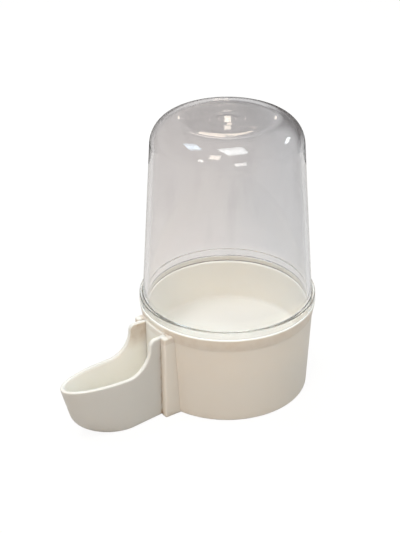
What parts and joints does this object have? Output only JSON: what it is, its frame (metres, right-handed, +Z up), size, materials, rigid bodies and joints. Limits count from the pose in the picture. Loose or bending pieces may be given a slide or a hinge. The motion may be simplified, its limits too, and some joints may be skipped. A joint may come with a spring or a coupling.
{
  "type": "bird drinker",
  "caption": "Gravity bird drinker: a clear upturned reservoir plugs into a round white base dish that feeds a shoe-shaped drinking spout held between two cheeks.",
  "frame": {"origin": "middle of the whole part's box, on the surface that the foot stands on", "axes": "+Z up along the reservoir's axis, -Y along the spout to its tip, X across, with the part the same on both sides of the plane X = 0"},
  "size_m": [0.0666, 0.1058, 0.1084],
  "materials": {
    "clear_plastic": "clear moulded plastic, glossy, lightly scuffed",
    "white_plastic": "cream-white moulded plastic, satin",
    "spout_plastic": "cream-white moulded plastic, satin, with some grime in its corners"
  },
  "bodies": {
    "base": {"base_dish": "white_plastic", "drinking_spout": "spout_plastic"},
    "reservoir": {"reservoir": "clear_plastic"}
  },
  "joints": [
    {"name": "reservoir_lift", "type": "slide", "parent": "base", "child": "reservoir", "axis": [0, 0, 1], "range_m": [0, 0.04]}
  ]
}
